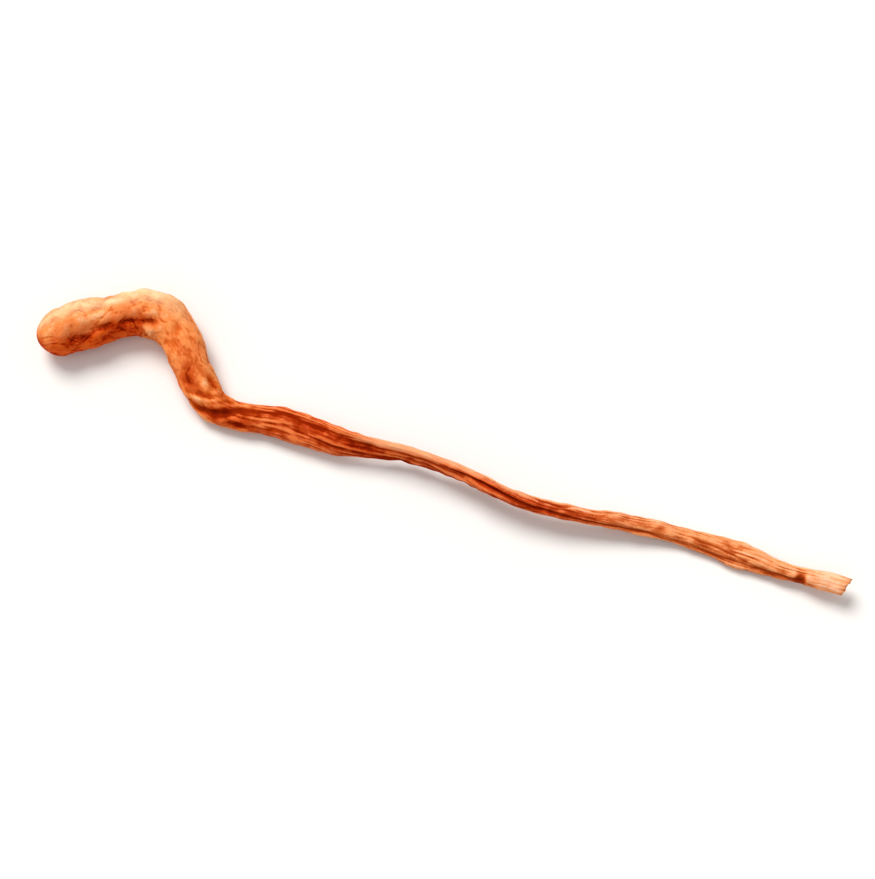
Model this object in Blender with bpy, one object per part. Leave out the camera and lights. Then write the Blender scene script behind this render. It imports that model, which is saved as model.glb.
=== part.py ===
"""One dried cordyceps: a single orange fruiting body, lying on its side as it was picked and dried.

A thick hooked head runs down into a round neck, and the neck turns into a long flattened stem that
twists half a turn on its way to the cut end. It grew as one piece, so it is one solid.

+X runs from the head to the cut end, +Z is up, and the origin is on the surface that the piece
rests on, under the middle of its box. The sizes below are in millimetres.
"""

import math

import bmesh
import bpy
from mathutils import Vector, noise

NODE = "fruiting_body"
MM = 0.001

# The middle of the box, measured from the head's tip, which is where the route below starts.
MIDDLE_X = 46.07
MIDDLE_Y = -12.49

# The centre line seen from above: x and y of the points that the smooth line runs through.
ROUTE = (
    (0.0, -0.1),
    (2.1, 0.45),
    (4.2, 1.25),
    (7.2, 2.1),
    (10.4, 2.9),
    (13.0, 2.9),
    (15.1, 1.9),
    (16.7, -0.6),
    (17.9, -3.5),
    (18.9, -5.9),
    (20.8, -8.0),
    (23.9, -9.2),
    (27.8, -10.0),
    (31.0, -11.1),
    (34.6, -12.5),
    (38.6, -13.4),
    (43.0, -14.3),
    (48.8, -16.5),
    (55.2, -19.7),
    (61.0, -21.2),
    (66.8, -22.0),
    (73.0, -23.2),
    (79.2, -25.3),
    (84.8, -27.6),
    (91.6, -29.8),
)
ROUTE_STEPS = 12

# How the section changes along the line: distance from the tip, half width, half thickness,
# twist in degrees, and how far the underside is lifted off the surface.
# A lift below zero is a place where the soft piece pressed itself flat as it dried.
SECTIONS = (
    (0.0, 2.75, 2.60, 0.0, 0.20),
    (3.0, 2.90, 2.70, 0.0, -0.18),
    (5.5, 2.95, 2.70, 0.0, -0.30),
    (8.0, 2.65, 2.50, 0.0, 0.10),
    (10.5, 2.50, 2.45, 0.0, 0.20),
    (13.0, 2.80, 2.65, 0.0, -0.24),
    (15.5, 2.75, 2.50, 0.0, -0.16),
    (18.5, 2.30, 2.20, 0.0, 0.35),
    (22.0, 2.18, 1.95, 0.0, 0.45),
    (25.5, 2.18, 1.70, 0.0, -0.05),
    (28.5, 1.80, 1.40, 2.0, -0.18),
    (32.0, 1.75, 1.10, 6.0, 0.25),
    (36.5, 1.85, 0.90, 14.0, 0.80),
    (40.5, 1.80, 0.82, 32.0, 1.10),
    (45.0, 1.65, 0.76, 60.0, 1.00),
    (49.0, 1.60, 0.76, 80.0, 0.90),
    (54.0, 1.60, 0.80, 92.0, 1.00),
    (60.0, 1.55, 0.92, 104.0, 1.30),
    (66.0, 1.40, 0.88, 122.0, 1.50),
    (72.0, 1.30, 0.75, 142.0, 1.30),
    (78.0, 1.20, 0.75, 158.0, 0.60),
    (84.0, 1.15, 0.75, 168.0, -0.10),
    (88.5, 1.55, 0.80, 178.0, -0.12),
    (93.0, 1.15, 0.80, 190.0, 0.35),
    (97.0, 0.90, 0.70, 197.0, 1.00),
    (99.0, 1.10, 0.84, 199.0, 1.20),
    (102.0, 1.12, 0.88, 202.0, 1.40),
)
TIP_LENGTH = 3.1
CUT_SLANT = 0.28

# Folds and furrows in the skin, and swellings where the depth is below zero. They run along the
# line: distances from and to, angles round the section at each end, half width of the fold in
# degrees, and depth. At 0 degrees is the outer edge of the hook, and at 90 the upper face.
FOLDS = (
    # the head
    (1.4, 7.4, 146.0, 132.0, 18.0, 0.26),
    (5.6, 10.2, 132.0, 120.0, 12.0, 0.28),
    (8.8, 16.6, 117.0, 124.0, 13.0, 0.38),
    (6.0, 15.0, 150.0, 144.0, 24.0, 0.24),
    (7.6, 11.6, 18.0, 24.0, 26.0, 0.12),
    (6.4, 9.6, 80.0, 74.0, 16.0, 0.16),
    (10.8, 16.2, 62.0, 40.0, 24.0, -0.30),
    (8.8, 12.6, 78.0, 70.0, 18.0, -0.18),
    (3.6, 7.2, 78.0, 88.0, 20.0, -0.20),
    (5.8, 9.0, 150.0, 146.0, 14.0, -0.20),
    (12.0, 17.4, 148.0, 144.0, 18.0, -0.34),
    (2.6, 11.4, 338.0, 322.0, 13.0, 0.32),
    (10.4, 20.0, 352.0, 338.0, 12.0, 0.34),
    (8.0, 17.0, 296.0, 302.0, 15.0, 0.26),
    (4.0, 9.0, 206.0, 218.0, 15.0, 0.26),
    # the neck
    (14.6, 25.5, 26.0, 22.0, 8.0, 0.12),
    (20.6, 25.6, 104.0, 126.0, 28.0, 0.14),
    (22.2, 26.6, 50.0, 60.0, 14.0, 0.18),
    (15.0, 18.4, 100.0, 108.0, 18.0, -0.16),
    (19.0, 22.6, 128.0, 132.0, 18.0, -0.18),
    (23.4, 28.8, 168.0, 40.0, 12.0, -0.20),
    (24.6, 31.5, 175.0, 60.0, 19.0, 0.44),
    (29.0, 32.4, 134.0, 130.0, 14.0, 0.26),
    (18.0, 34.0, 205.0, 210.0, 12.0, 0.30),
    (19.0, 36.0, 318.0, 322.0, 13.0, 0.30),
    # the flattened stem: a deep groove beside each edge, and the lesser furrows between them
    (28.6, 47.5, 66.0, 58.0, 19.0, 0.27),
    (44.0, 58.5, 74.0, 34.0, 19.0, 0.28),
    (55.0, 69.0, 46.0, -20.0, 19.0, 0.44),
    (38.0, 52.0, 108.0, 112.0, 11.0, 0.13),
    (45.0, 98.0, 140.0, 150.0, 8.0, 0.18),
    (30.0, 71.0, 256.0, 272.0, 15.0, 0.40),
    (64.0, 80.0, 20.0, -30.0, 22.0, 0.26),
    (76.0, 98.4, -18.0, -48.0, 20.0, 0.22),
    (44.0, 80.0, 222.0, 228.0, 10.0, 0.14),
    (63.0, 102.0, 48.0, 64.0, 11.0, 0.24),
    (72.0, 103.0, 106.0, 112.0, 10.0, 0.16),
)
FOLD_FADE = 2.4
# The folds wander to either side by about this many degrees, this many times in a millimetre.
WANDER = 16.0
WANDER_OFTEN = 0.14

# Uneven lumps all over: how many to a millimetre, and how high, on the head and on the stem.
LUMPS = ((0.30, 0.34, 0.16), (0.85, 0.16, 0.12))
HEAD_END = 24.0
STEM_START = 36.0

# How finely the skin is divided.
FACES_AROUND = 38
TIP_RINGS = 8
HEAD_STEP = 0.66
STEM_STEP = 0.98


def ease(value):
    """0 below 0, 1 above 1, and a smooth rise between them."""
    share = min(1.0, max(0.0, value))
    return share * share * (3.0 - 2.0 * share)


def through(rows, place):
    """The smooth curve through rows of (place, value, value...), read at one place."""
    last = len(rows) - 2
    index = next((i for i in range(last) if place < rows[i + 1][0]), last)
    before, start, end, after = (rows[min(max(index + k, 0), last + 1)] for k in (-1, 0, 1, 2))
    gap = end[0] - start[0]
    share = (place - start[0]) / gap
    values = []
    for p, q, r, s in zip(before[1:], start[1:], end[1:], after[1:]):
        slope_in = (r - p) / max(end[0] - before[0], gap) * gap
        slope_out = (s - q) / max(after[0] - start[0], gap) * gap
        rise = (2 * share**3 - 3 * share**2 + 1) * q + (3 * share**2 - 2 * share**3) * r
        bend = (share**3 - 2 * share**2 + share) * slope_in + (share**3 - share**2) * slope_out
        values.append(rise + bend)
    return values


def measured_route():
    """The route as closely spaced rows of (distance from the tip, x, y)."""
    rows = [(float(index), x, y) for index, (x, y) in enumerate(ROUTE)]
    count = (len(ROUTE) - 1) * ROUTE_STEPS
    points = [Vector(through(rows, step / ROUTE_STEPS)) for step in range(count + 1)]
    measured = [(0.0, *points[0])]
    for before, point in zip(points, points[1:]):
        measured.append((measured[-1][0] + (point - before).length, *point))
    return measured


def stations(length):
    """Distances from the tip of the rings of vertices, the last of them on the cut end."""
    quarter_turn = math.pi / 2
    rings = [TIP_LENGTH * (1 - math.cos(quarter_turn * i / TIP_RINGS)) for i in range(TIP_RINGS)]
    for start, end, step in ((TIP_LENGTH, HEAD_END, HEAD_STEP), (HEAD_END, length, STEM_STEP)):
        count = round((end - start) / step)
        rings.extend(start + (end - start) * i / count for i in range(count))
    return [*rings, length]


def fold_depth(distance, angle):
    """How far the folds press the skin in at a distance from the tip and an angle in degrees."""
    depth = 0.0
    for start, end, first, last, spread, deep in FOLDS:
        if not start < distance < end:
            continue
        share = (distance - start) / (end - start)
        wander = WANDER * noise.noise((distance * WANDER_OFTEN, start, first))
        away = (angle - first - (last - first) * share - wander + 180.0) % 360.0 - 180.0
        fade = ease((distance - start) / FOLD_FADE) * ease((end - distance) / FOLD_FADE)
        depth += deep * fade * math.exp(-((away / spread) ** 2))
    return depth


def lump_height(point, distance):
    """The uneven swelling of the skin at a point."""
    stem = ease((distance - HEAD_END) / (STEM_START - HEAD_END))
    return sum(
        (on_head + (on_stem - on_head) * stem) * noise.noise(point * often)
        for often, on_head, on_stem in LUMPS
    )


def line_at(route, distance):
    """The centre of the section, its sideways direction and its upward direction."""
    nearby = 0.05
    here, ahead, behind = (
        Vector((*through(route, at), 0.0)) for at in (distance, distance + nearby, distance - nearby)
    )
    along = (ahead - behind).normalized()
    up = Vector((0.0, 0.0, 1.0))
    return here, up.cross(along), along


def skin_point(route, length, distance, angle, inwards=0.0):
    """A point of the skin. inwards runs from 0 on the skin to 1 on the centre line."""
    at = min(distance, length)
    half_width, half_thickness, twist, lift = through(SECTIONS, at)
    if at < TIP_LENGTH:
        rounded = math.sqrt(max(0.0, 1.0 - (1.0 - at / TIP_LENGTH) ** 2))
    else:
        rounded = 1.0
    turn = math.radians(twist)
    height = math.hypot(half_width * math.sin(turn), half_thickness * math.cos(turn))
    centre, side, along = line_at(route, at)
    centre.z = height + lift
    # Across the section and through it, before the twist
    across = half_width * math.cos(math.radians(angle))
    through_it = half_thickness * math.sin(math.radians(angle))
    outward = Vector((across / half_width**2, through_it / half_thickness**2)).normalized()
    probe = centre + side * across + Vector((0.0, 0.0, through_it))
    raised = lump_height(probe, at) - fold_depth(at, angle % 360.0)
    across = (across + outward.x * raised) * rounded * (1.0 - inwards)
    through_it = (through_it + outward.y * raised) * rounded * (1.0 - inwards)
    sideways = across * math.cos(turn) - through_it * math.sin(turn)
    upward = across * math.sin(turn) + through_it * math.cos(turn)
    slant = CUT_SLANT * sideways * ease((at - length + STEM_STEP) / STEM_STEP)
    point = centre + side * sideways + along * slant + Vector((0.0, 0.0, upward))
    point.z = max(point.z, 0.0)
    return point


def place_on_skin(sphere):
    """Draws a sphere out along the route: its poles become the tip and the middle of the cut end."""
    route = measured_route()
    length = route[-1][0]
    rings = stations(length)
    last_ring = len(rings) - 1
    for vertex in sphere.verts:
        ring = round(math.acos(max(-1.0, min(1.0, -vertex.co.z))) / math.pi * (last_ring + 2))
        angle = math.degrees(math.atan2(vertex.co.y, vertex.co.x))
        distance = rings[min(ring, last_ring)]
        inwards = (ring - last_ring) / 2 if ring > last_ring else 0.0
        point = skin_point(route, length, distance, angle, inwards)
        vertex.co = (point - Vector((MIDDLE_X, MIDDLE_Y, 0.0))) * MM
    return length


def skin_material():
    """Dry orange skin."""
    material = bpy.data.materials.new("dried_skin")
    material.use_nodes = True
    surface = material.node_tree.nodes["Principled BSDF"]
    surface.inputs["Base Color"].default_value = (0.68, 0.22, 0.05, 1.0)
    surface.inputs["Roughness"].default_value = 0.7
    surface.inputs["Metallic"].default_value = 0.0
    return material


def make_fruiting_body():
    """The whole piece, as one closed mesh."""
    rings = len(stations(measured_route()[-1][0])) + 1
    mesh = bpy.data.meshes.new(NODE)
    shape = bmesh.new()
    bmesh.ops.create_uvsphere(shape, u_segments=FACES_AROUND, v_segments=rings, radius=1.0)
    place_on_skin(shape)
    shape.to_mesh(mesh)
    shape.free()
    mesh.shade_smooth()
    mesh.set_sharp_from_angle(angle=math.radians(60.0))
    mesh.materials.append(skin_material())
    return bpy.data.objects.new(NODE, mesh)


def main():
    """Clears the scene and makes the cordyceps."""
    for old in list(bpy.data.objects):
        bpy.data.objects.remove(old)
    collection = bpy.data.collections.new("dried_cordyceps")
    bpy.context.scene.collection.children.link(collection)
    collection.objects.link(make_fruiting_body())


main()
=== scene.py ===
"""One dried cordyceps: an orange fruiting body with a thick hooked head and a long twisted stem.

It lies on its side on a pale floor, +X from the head to the cut end and +Z up. Its shape is worked
out in millimetres, and put in the frame's metres at the end. Distances run along the strand from the
tip of the head. Angles round it are in degrees: 0 is the outer edge of the hook and 90 the upper face.
A place in the strand has three numbers: along it, across it and through it.
"""

import logging
import math
from dataclasses import dataclass
from enum import Enum
from functools import partial, reduce

import bpy
import numpy as np
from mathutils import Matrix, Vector, noise


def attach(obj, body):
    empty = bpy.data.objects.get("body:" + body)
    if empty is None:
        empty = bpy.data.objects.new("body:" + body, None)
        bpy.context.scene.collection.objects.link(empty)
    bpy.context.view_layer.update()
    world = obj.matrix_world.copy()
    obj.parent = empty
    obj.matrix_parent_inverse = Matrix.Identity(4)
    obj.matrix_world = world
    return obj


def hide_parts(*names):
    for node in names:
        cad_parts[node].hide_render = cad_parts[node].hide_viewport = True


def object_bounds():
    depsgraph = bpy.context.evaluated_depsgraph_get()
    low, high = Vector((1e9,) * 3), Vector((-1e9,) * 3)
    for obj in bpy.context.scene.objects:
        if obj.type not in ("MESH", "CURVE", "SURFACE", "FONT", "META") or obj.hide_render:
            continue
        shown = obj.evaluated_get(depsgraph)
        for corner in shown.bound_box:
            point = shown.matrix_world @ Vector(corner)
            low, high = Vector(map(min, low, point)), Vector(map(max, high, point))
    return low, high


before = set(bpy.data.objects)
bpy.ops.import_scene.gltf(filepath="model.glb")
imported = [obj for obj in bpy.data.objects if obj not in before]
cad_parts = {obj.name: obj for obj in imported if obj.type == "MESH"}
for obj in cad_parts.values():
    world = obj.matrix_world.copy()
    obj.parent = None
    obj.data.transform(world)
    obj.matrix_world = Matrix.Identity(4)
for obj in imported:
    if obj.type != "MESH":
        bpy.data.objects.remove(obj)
CAD_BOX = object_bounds()

LOG = logging.getLogger("cordyceps")
NODE = "fruiting_body"
BODY = "root"
MM = 0.001
# Keeps a division away from nothing
TINY = 1e-9

Array = np.ndarray
Material = bpy.types.Material
Object = bpy.types.Object
Socket = bpy.types.NodeSocket
Tree = bpy.types.NodeTree
Span = tuple[float, float]
Colour = tuple[float, float, float]
Palette = tuple[Colour, ...]
Scale = tuple[float, float, float]


class Mark(Enum):
    """The names of the values that the skin's mesh carries for its materials."""

    GRAIN = "grain"
    RIDGE = "ridge"
    STEM = "stem_share"
    BASE = "base_share"
    RED = "red_share"
    TONE = "tone"
    EDGE = "upper_edge"


def ease(values: Array | float) -> Array:
    """Rises smoothly from 0 to 1."""
    share = np.clip(values, 0.0, 1.0)
    return share * share * (3.0 - 2.0 * share)


def bell(values: Array, spread: float) -> Array:
    """A bell curve of height 1."""
    return np.exp(-((values / spread) ** 2))


def away(angles: Array, middle: float | Array) -> Array:
    """How far angles are from a middle, the short way round, from -180 to 180."""
    return (angles - middle + 180.0) % 360.0 - 180.0


def noise_at(points: Array, often: Scale = (1.0, 1.0, 1.0), shift: float = 0.0) -> Array:
    """Smooth noise from about -1 to 1 at each point, with so many swells to a millimetre each way."""
    rows = (points * np.array(often) + shift).reshape(-1, 3).tolist()
    return np.fromiter(map(noise.noise, rows), float, len(rows)).reshape(points.shape[:-1])


@dataclass(frozen=True)
class SmoothTable:
    """A smooth curve through rows of numbers. The first number of each row is its place."""

    rows: tuple[tuple[float, ...], ...]

    def at(self, places: Array) -> Array:
        """Reads the curve.

        Args:
            places: Where to read it.

        Returns:
            A row of values for each place.
        """
        table = np.array(self.rows)
        knots, values = table[:, 0], table[:, 1:]
        start = np.clip(np.searchsorted(knots, places, side="right") - 1, 0, len(knots) - 2)
        end = start + 1
        before, after = np.maximum(start - 1, 0), np.minimum(end + 1, len(knots) - 1)
        gap = (knots[end] - knots[start])[:, None]
        share = (places[:, None] - knots[start][:, None]) / gap
        reach_in = np.maximum((knots[end] - knots[before])[:, None], gap)
        reach_out = np.maximum((knots[after] - knots[start])[:, None], gap)
        slope_in = (values[end] - values[before]) / reach_in * gap
        slope_out = (values[after] - values[start]) / reach_out * gap
        square, cube = share**2, share**3
        rise = (2 * cube - 3 * square + 1) * values[start] + (3 * square - 2 * cube) * values[end]
        return rise + (cube - 2 * square + share) * slope_in + (cube - square) * slope_out


@dataclass(frozen=True)
class Ripple:
    """Noise of one size: its height, how often it swells in a millimetre each way, and its shift.

    The width is that of the valleys where it makes creases.
    """

    height: float
    often: Scale
    shift: float
    width: float = 0.1

    def swell(self, grain: Array) -> Array:
        """The noise as a height."""
        return self.height * noise_at(grain, self.often, self.shift)

    def crease(self, grain: Array) -> Array:
        """Thin valleys, where the noise passes zero."""
        return self.height * bell(noise_at(grain, self.often, self.shift), self.width)


@dataclass(frozen=True)
class CentreLine:
    """The line through the middle of the strand, seen from above."""

    points: tuple[Span, ...] = (
        (0, -0.1), (2.1, 0.45), (4.2, 1.25), (7.2, 2.1), (10.4, 2.9), (13, 2.9), (15.1, 1.9), (16.7, -0.6),
        (17.9, -3.5), (18.9, -5.9), (20.8, -8), (23.9, -9.2), (27.8, -10), (31, -11.1), (34.6, -12.5),
        (38.6, -13.4), (43, -14.3), (48.8, -16.5), (55.2, -19.7), (61, -21.2), (66.8, -22), (73, -23.2),
        (79.2, -25.3), (84.8, -27.6), (91.6, -29.8),
    )
    steps_between: int = 12

    def measured(self) -> SmoothTable:
        """Measures the line.

        Returns:
            Closely spaced rows of distance from the tip, x and y.
        """
        knots = SmoothTable(tuple((float(i), *point) for i, point in enumerate(self.points)))
        count = (len(self.points) - 1) * self.steps_between
        line = knots.at(np.arange(count + 1) / self.steps_between)
        gaps = np.linalg.norm(np.diff(line, axis=0), axis=1)
        distances = np.concatenate(([0.0], np.cumsum(gaps)))
        return SmoothTable(tuple(map(tuple, np.column_stack((distances, line)).tolist())))


@dataclass(frozen=True)
class Fold:
    """A furrow along the skin, or a swelling if its depth is below zero.

    It runs from start to end along the strand, and from one angle round it to another.
    """

    start: float
    end: float
    first_angle: float
    last_angle: float
    spread: float
    depth: float
    fade: float = 2.4
    # How far it wanders to either side, in degrees, and how often in a millimetre
    wander: float = 16.0
    wander_often: float = 0.14

    def depth_at(self, distances: Array, angles: Array) -> Array:
        """How far the fold presses the skin in.

        Args:
            distances: One for each ring.
            angles: One for each column.

        Returns:
            A depth for each ring and column.
        """
        share = (distances - self.start) / (self.end - self.start)
        middle = self.first_angle + (self.last_angle - self.first_angle) * share
        places = np.zeros((*distances.shape, 3)) + (0.0, self.start, self.first_angle)
        places[..., 0] = distances * self.wander_often
        middle = middle + self.wander * noise_at(places)
        fade = ease((distances - self.start) / self.fade) * ease((self.end - distances) / self.fade)
        return self.depth * fade * bell(away(angles, middle), self.spread)


@dataclass(frozen=True)
class Gather:
    """Small creases across the strand, where drying squeezed the inner side of a bend."""

    start: float
    end: float
    angle: float
    spread: float
    depth: float
    spacing: float

    def depth_at(self, distances: Array, angles: Array, bend: Array) -> Array:
        """How far the creases press the skin in.

        Args:
            distances: One for each ring.
            angles: One for each column.
            bend: How far the creases are bent along the strand at each point.

        Returns:
            A depth for each ring and column.
        """
        middle, reach = (self.start + self.end) / 2, (self.end - self.start) / 2
        lines = (1.0 - np.abs(np.sin(math.pi * (distances + bend) / self.spacing))) ** 2
        along = bell(distances - middle, reach)
        return self.depth * lines * along * bell(away(angles, self.angle), self.spread)


@dataclass(frozen=True)
class Relief:
    """Everything that lifts or presses the skin away from its plain section."""

    folds: tuple[Fold, ...] = tuple(
        Fold(*row) for row in (
            # The head
            (1.4, 7.4, 146, 132, 18, 0.26), (5.6, 10.2, 132, 120, 12, 0.28),
            (8.8, 16.6, 117, 124, 13, 0.38), (6, 15, 150, 144, 24, 0.24), (7.6, 11.6, 18, 24, 26, 0.12),
            (6.4, 9.6, 80, 74, 16, 0.16), (10.8, 16.2, 62, 40, 24, -0.3), (8.8, 12.6, 78, 70, 18, -0.18),
            (3.6, 7.2, 78, 88, 20, -0.2), (5.8, 9, 150, 146, 14, -0.2), (12, 17.4, 148, 144, 18, -0.34),
            (2.6, 11.4, 338, 322, 13, 0.32), (10.4, 20, 352, 338, 12, 0.34), (8, 17, 296, 302, 15, 0.26),
            (4, 9, 206, 218, 15, 0.26),
            # The neck
            (14.6, 25.5, 26, 22, 8, 0.12), (20.6, 25.6, 104, 126, 28, 0.14), (22.2, 26.6, 50, 60, 14, 0.18),
            (15, 18.4, 100, 108, 18, -0.16), (19, 22.6, 128, 132, 18, -0.18),
            (23.4, 28.8, 168, 40, 12, -0.2), (24.6, 31.5, 175, 60, 19, 0.44),
            (29, 32.4, 134, 130, 14, 0.26), (18, 34, 205, 210, 12, 0.3), (19, 36, 318, 322, 13, 0.3),
            # The flattened stem: a deep groove beside each edge, and the lesser furrows between them
            (28.6, 47.5, 66, 58, 19, 0.27), (44, 58.5, 74, 34, 19, 0.28), (55, 69, 46, -20, 19, 0.44),
            (38, 52, 108, 112, 11, 0.13), (45, 98, 140, 150, 8, 0.18), (30, 71, 256, 272, 15, 0.4),
            (64, 80, 20, -30, 22, 0.26), (76, 98.4, -18, -48, 20, 0.22), (44, 80, 222, 228, 10, 0.14),
            (63, 102, 48, 64, 11, 0.24), (72, 103, 106, 112, 10, 0.16),
        )
    )
    gathers: tuple[Gather, ...] = (
        Gather(11.0, 18.5, 176.0, 34.0, 0.08, 1.15),
        Gather(20.0, 27.5, 12.0, 42.0, 0.08, 1.05),
    )
    gather_bend: Ripple = Ripple(0.9, (0.5, 0.5, 0.5), 60.0)
    # A short notch across the strand, where it is pinched
    notch: Fold = Fold(95.85, 97.55, 306.0, 314.0, 60.0, 0.32, fade=0.85, wander=6.0)
    # Lumps: how many to a millimetre, and how high they are on the head and on the stem
    lumps: tuple[tuple[float, float, float], ...] = ((0.30, 0.34, 0.16), (0.85, 0.16, 0.12))
    # The loose net of creases on the head, what bends it and what makes it fainter in places
    net: Ripple = Ripple(0.062, (0.34, 0.52, 0.52), 3.0, 0.085)
    net_bend: Ripple = Ripple(1.2, (0.35, 0.35, 0.35), 31.0)
    net_strength: Ripple = Ripple(1.6, (0.2, 0.3, 0.3), 12.0)
    net_least: float = 0.35
    # The long creases down the stem, and how much of them the head has
    stem_creases: tuple[Ripple, ...] = (
        Ripple(0.055, (0.055, 1.15, 1.15), 8.0, 0.075),
        Ripple(0.034, (0.10, 2.3, 2.3), 19.0, 0.10),
    )
    creases_on_head: float = 0.25
    # Wrinkles, round on the head and drawn out along the stem, and how much of those the head has
    head_wrinkles: tuple[Ripple, ...] = (
        Ripple(0.046, (1.0, 1.4, 1.4), 5.0),
        Ripple(0.034, (2.2, 2.8, 2.8), 9.0),
        Ripple(0.020, (4.6, 4.6, 4.6), 17.0),
    )
    stem_wrinkles: tuple[Ripple, ...] = (
        Ripple(0.072, (0.22, 2.6, 2.6), 14.0),
        Ripple(0.036, (0.55, 5.5, 5.5), 27.0),
        Ripple(0.035, (0.9, 1.1, 1.1), 40.0),
    )
    wrinkles_on_head: float = 0.2
    # Pits: how often they come, their depth, what their chance has to pass, their least and added
    # size, what parts the chances of two pits, and how much shallower they are on the stem
    pits_often: float = 0.62
    pit_depth: float = 0.045
    pit_chance: float = 0.15
    pit_size: Span = (0.16, 0.2)
    pit_apart: float = 5.7
    pit_loss: float = 0.85
    # Where the neck's change from the head's relief to the stem's begins and ends
    head_end: float = 24.0
    stem_start: float = 36.0

    def stem_share(self, distances: Array) -> Array:
        """How much of the stem there is: 0 on the head, 1 on the stem, rising along the neck."""
        return ease((distances - self.head_end) / (self.stem_start - self.head_end))

    @staticmethod
    def blend(on_head: Array, on_stem: Array, stem: Array, least: float) -> Array:
        """Fades from the head's relief to the stem's, of which the head has the least share."""
        return on_head * (1.0 - stem) + on_stem * (least + (1.0 - least) * stem)

    def creases_at(self, grain: Array, stem: Array) -> Array:
        """The depth of the thin creases.

        Args:
            grain: Places in the strand.
            stem: The stem's share at each point.

        Returns:
            A depth for each point.
        """
        bent = grain + self.net_bend.swell(grain)[..., None]
        strength = self.net_least + (1.0 - self.net_least) * ease(0.5 + self.net_strength.swell(grain))
        on_stem = sum(ripple.crease(grain) for ripple in self.stem_creases)
        return self.blend(self.net.crease(bent) * strength, on_stem, stem, self.creases_on_head)

    def wrinkles_at(self, grain: Array, stem: Array) -> Array:
        """The height of the fine wrinkles at places in the strand, with the stem's share at each."""
        head, lower = (sum(r.swell(grain) for r in kind) for kind in (self.head_wrinkles, self.stem_wrinkles))
        return self.blend(head, lower, stem, self.wrinkles_on_head)

    def pits_at(self, grain: Array, stem: Array) -> Array:
        """The depth of the small round dents, scattered over the head and the neck.

        Args:
            grain: Places in the strand.
            stem: The stem's share at each point.

        Returns:
            A depth for each point.
        """
        least, added = self.pit_size
        rows = (grain * self.pits_often).reshape(-1, 3).tolist()
        depth = np.zeros(len(rows))
        for index, row in enumerate(rows):
            distances, cells = noise.voronoi(row)
            chance = noise.noise(cells[0] * self.pit_apart)
            if chance > self.pit_chance:
                depth[index] = math.exp(-((distances[0] / (least + added * chance)) ** 2))
        return self.pit_depth * depth.reshape(grain.shape[:-1]) * (1.0 - self.pit_loss * stem)

    def height_at(self, probe: Array, grain: Array, stem: Array, distance: Array, angle: Array) -> Array:
        """How far the whole relief lifts the skin.

        Args:
            probe: The skin's points before any relief.
            grain: Places in the strand.
            stem: The stem's share at each point.
            distance: One for each ring.
            angle: One for each column.

        Returns:
            A height for each ring and column.
        """
        raised = np.zeros(stem.shape)
        for often, on_head, on_stem in self.lumps:
            raised += (on_head + (on_stem - on_head) * stem) * noise_at(probe, (often,) * 3)
        for fold in self.folds:
            raised = raised - fold.depth_at(distance, angle)
        bend = self.gather_bend.swell(grain)
        for gather in self.gathers:
            raised = raised - gather.depth_at(distance, angle, bend)
        raised = raised - self.notch.depth_at(distance, angle)
        raised = raised - self.creases_at(grain, stem) + self.wrinkles_at(grain, stem)
        return raised - self.pits_at(grain, stem)


@dataclass(frozen=True)
class Patch:
    """A soft patch on the skin: its middle, how far it reaches along and round, and its strength."""

    distance: float
    angle: float
    reach: float
    spread: float
    strength: float

    def share(self, distances: Array, angles: Array) -> Array:
        """The patch's strength at each point."""
        along = bell(distances - self.distance, self.reach)
        return self.strength * along * bell(away(angles, self.angle), self.spread)


@dataclass(frozen=True)
class RednessAndShade:
    """Where the skin is a deeper, darker red, partly its own colour and partly painted shade: on the
    inner side of the hook and in patches along the strand.
    """

    # Distance from the tip, the two angles that the hook's inner side lies between, and its strength
    rows: SmoothTable = SmoothTable(
        (
            (0, 132, 236, 0.7), (1.2, 124, 240, 1), (2.4, 118, 246, 1), (4, 122, 246, 1), (6, 130, 246, 1),
            (8.5, 117, 246, 1), (10.5, 110, 244, 1), (11.9, 108, 236, 1), (13.2, 107, 134, 0.9),
            (15.6, 111, 128, 0.6), (17, 116, 124, 0),
        )
    )
    patches: tuple[Patch, ...] = tuple(
        Patch(*row) for row in (
            (4.4, 152, 1.4, 34, 0.6), (3.8, 106, 1.5, 15, 0.4), (4.6, 119, 2.2, 17, 0.75),
            (9.2, 98, 0.7, 16, 0.22), (15.8, 152, 2.6, 28, 0.22), (20.8, 66, 1.3, 28, 0.34),
            (22.4, 106, 2, 34, 0.48), (23.8, 120, 1.4, 28, 0.72), (26.7, 154, 0.7, 20, 0.75),
            (27.7, 122, 0.9, 34, 0.95), (28.8, 100, 0.9, 34, 0.9), (30.2, 84, 1, 26, 0.45),
            (28.2, 146, 1.1, 25, 0.75), (30.4, 131, 1.3, 32, 0.95), (40.5, 82, 2.6, 26, 0.35),
            (44, 86, 3.2, 34, 0.7), (48.2, 66, 1.4, 28, 0.55), (57.5, 24, 2.2, 24, 0.4),
            (61.2, 2, 3.2, 32, 0.9), (66, -2, 2.6, 46, 0.88), (70.4, -10, 2.8, 36, 0.6),
            (96.75, -42, 0.5, 42, 0.7),
        )
    )
    softness: float = 44.0
    wander: Ripple = Ripple(14.0, (0.55, 0.55, 0.55), 70.0)

    def share(self, distances: Array, angles: Array, grain: Array) -> Array:
        """How much of the deeper red and its painted shade there is at each point.

        Args:
            distances: One for each ring.
            angles: One for each column, from 0 to 360.
            grain: Places in the strand.

        Returns:
            From 0 to 1 for each ring and column.
        """
        inside = np.minimum(distances, self.rows.rows[-1][0])
        first, last, strength = (column[:, None] for column in self.rows.at(inside).T)
        uneven = angles[None, :] + self.wander.swell(grain)
        begun = ease((uneven - first) / self.softness + 0.5)
        left = ease((last - uneven) / self.softness + 0.5)
        share = np.clip(strength, 0.0, 1.0) * begun * left
        for patch in self.patches:
            share = np.maximum(share, patch.share(distances[:, None], uneven))
        return share


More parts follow.
